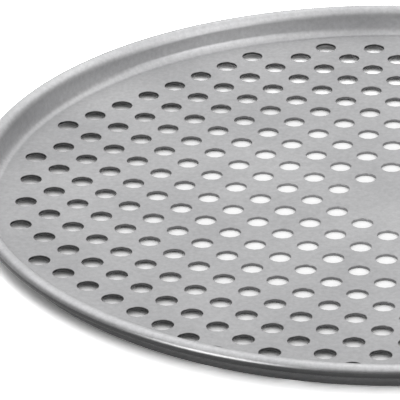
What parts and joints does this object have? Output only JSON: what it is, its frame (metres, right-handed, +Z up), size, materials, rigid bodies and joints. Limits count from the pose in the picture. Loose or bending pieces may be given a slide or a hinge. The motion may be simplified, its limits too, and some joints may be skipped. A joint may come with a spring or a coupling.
{
  "type": "perforated pizza pan",
  "caption": "Shallow round pizza pan in satin grey sheet steel, with staggered vent holes, a steep low wall and a wired rolled rim.",
  "frame": {"origin": "centre of the underside, on the surface that the pan rests on", "axes": "+Z up out of the pan, the axis that the pan is round about; +X and +Y along the two directions of its rows of vent holes"},
  "size_m": [0.356, 0.356, 0.0155],
  "materials": {
    "pan_sheet": "satin",
    "rim_wire": "satin"
  },
  "bodies": {
    "root": {"pan_sheet": "pan_sheet", "rim_wire": "rim_wire"}
  },
  "joints": []
}
